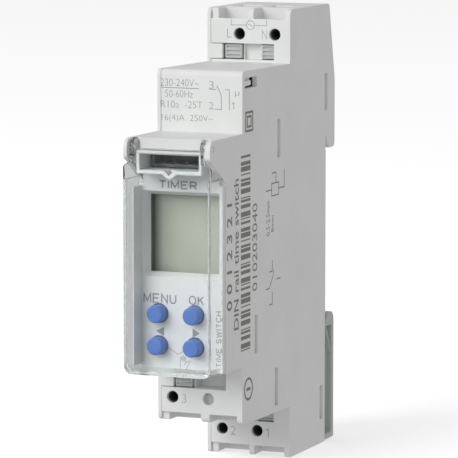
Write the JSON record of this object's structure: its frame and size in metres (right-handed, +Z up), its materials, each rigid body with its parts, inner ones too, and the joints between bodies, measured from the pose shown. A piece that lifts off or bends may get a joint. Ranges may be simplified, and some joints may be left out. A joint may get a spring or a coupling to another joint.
{
  "type": "din rail timer",
  "caption": "Narrow digital time switch for a 35 mm rail, with a clear hinged cover, display, keys, spring terminals with release levers, and a sprung rail clip.",
  "frame": {"origin": "centre of the width of the housing on the face that rests on the rail, on the rail's centre line", "axes": "+X across the 17.5 mm width, to the right when the front is seen; +Y from the front towards the rail; +Z up along the height"},
  "size_m": [0.0176, 0.0651, 0.0881],
  "materials": {
    "housing_plastic": "light grey moulded polyamide, fine grain",
    "bezel_plastic": "light grey moulded plastic, smooth satin",
    "lever_plastic": "mid grey moulded plastic, ribbed",
    "clip_plastic": "greenish grey moulded plastic",
    "button_rubber": "blue silicone rubber, domed",
    "cover_clear": "clear polycarbonate",
    "display_glass": "reflective liquid crystal glass, greenish grey",
    "black_plastic": "black moulded plastic",
    "board": "green glass fibre board with solder mask",
    "copper": "tin free copper strip and enamelled copper wire",
    "brass": "brass with silver contact tips",
    "steel": "spring steel and soft iron, bright",
    "silver": "nickel plated steel can",
    "yellow_film": "yellow film capacitor case",
    "blue_coat": "blue epoxy coating",
    "grey_rubber": "grey conductive rubber",
    "sleeve": "dark heat-shrink sleeve"
  },
  "bodies": {
    "housing": {"main_housing": "housing_plastic", "side_cover": "housing_plastic", "display_bezel": "bezel_plastic", "lcd_panel": "display_glass", "lcd_connector_upper": "grey_rubber", "lcd_connector_lower": "grey_rubber", "display_board": "board", "microcontroller": "black_plastic", "crystal": "silver", "memory_socket": "black_plastic", "key_switch_menu": "black_plastic", "key_switch_ok": "black_plastic", "key_switch_back": "black_plastic", "key_switch_next": "black_plastic", "main_board": "board", "board_link": "black_plastic", "noise_capacitor": "yellow_film", "smoothing_capacitor": "sleeve", "varistor": "blue_coat", "fuse_resistor": "grey_rubber", "bridge_rectifier": "black_plastic", "cell_holder": "black_plastic", "backup_cell": "silver", "relay_base": "black_plastic", "relay_case": "black_plastic", "relay_bobbin": "grey_rubber", "relay_winding": "copper", "relay_core": "steel", "relay_yoke": "steel", "relay_contact_open": "brass", "relay_contact_closed": "brass", "busbar_L": "copper", "clamp_spring_L": "steel", "busbar_N": "copper", "clamp_spring_N": "steel", "busbar_3": "copper", "clamp_spring_3": "steel", "busbar_2": "copper", "clamp_spring_2": "steel", "busbar_1": "copper", "clamp_spring_1": "steel", "clip_spring": "steel"},
    "cover": {"front_cover": "cover_clear"},
    "button_menu_body": {"button_menu": "button_rubber"},
    "button_ok_body": {"button_ok": "button_rubber"},
    "button_back_body": {"button_back": "button_rubber"},
    "button_next_body": {"button_next": "button_rubber"},
    "lever_L_body": {"release_lever_L": "lever_plastic"},
    "lever_N_body": {"release_lever_N": "lever_plastic"},
    "lever_3_body": {"release_lever_3": "lever_plastic"},
    "lever_2_body": {"release_lever_2": "lever_plastic"},
    "lever_1_body": {"release_lever_1": "lever_plastic"},
    "clip": {"rail_clip": "clip_plastic"},
    "armature": {"relay_armature": "steel", "relay_moving_contact": "copper"}
  },
  "joints": [
    {"name": "cover_hinge", "type": "hinge", "parent": "housing", "child": "cover", "pos_m": [0, -0.0582, 0.0219], "axis": [-1, 0, 0], "range_deg": [0, 115]},
    {"name": "button_menu_press", "type": "slide", "parent": "housing", "child": "button_menu_body", "axis": [0, 1, 0], "range_m": [0, 0.0007], "stiffness_N_per_m": 900, "springref_m": -0.0004},
    {"name": "button_ok_press", "type": "slide", "parent": "housing", "child": "button_ok_body", "axis": [0, 1, 0], "range_m": [0, 0.0007], "stiffness_N_per_m": 900, "springref_m": -0.0004},
    {"name": "button_back_press", "type": "slide", "parent": "housing", "child": "button_back_body", "axis": [0, 1, 0], "range_m": [0, 0.0007], "stiffness_N_per_m": 900, "springref_m": -0.0004},
    {"name": "button_next_press", "type": "slide", "parent": "housing", "child": "button_next_body", "axis": [0, 1, 0], "range_m": [0, 0.0007], "stiffness_N_per_m": 900, "springref_m": -0.0004},
    {"name": "lever_L_press", "type": "slide", "parent": "housing", "child": "lever_L_body", "axis": [0, 1, 0], "range_m": [0, 0.0015], "stiffness_N_per_m": 2500, "springref_m": -0.0008},
    {"name": "lever_N_press", "type": "slide", "parent": "housing", "child": "lever_N_body", "axis": [0, 1, 0], "range_m": [0, 0.0015], "stiffness_N_per_m": 2500, "springref_m": -0.0008},
    {"name": "lever_3_press", "type": "slide", "parent": "housing", "child": "lever_3_body", "axis": [0, 1, 0], "range_m": [0, 0.0015], "stiffness_N_per_m": 2500, "springref_m": -0.0008},
    {"name": "lever_2_press", "type": "slide", "parent": "housing", "child": "lever_2_body", "axis": [0, 1, 0], "range_m": [0, 0.0015], "stiffness_N_per_m": 2500, "springref_m": -0.0008},
    {"name": "lever_1_press", "type": "slide", "parent": "housing", "child": "lever_1_body", "axis": [0, 1, 0], "range_m": [0, 0.0015], "stiffness_N_per_m": 2500, "springref_m": -0.0008},
    {"name": "clip_slide", "type": "slide", "parent": "housing", "child": "clip", "axis": [0, 0, -1], "range_m": [0, 0.003], "stiffness_N_per_m": 2500, "springref_m": -0.0015, "deforming": ["clip_spring"]},
    {"name": "armature_pivot", "type": "hinge", "parent": "housing", "child": "armature", "pos_m": [0, -0.02215, -0.00735], "axis": [1, 0, 0], "range_deg": [0, 4.5], "stiffness_Nm_per_rad": 0.02, "springref_deg": -5.73}
  ]
}
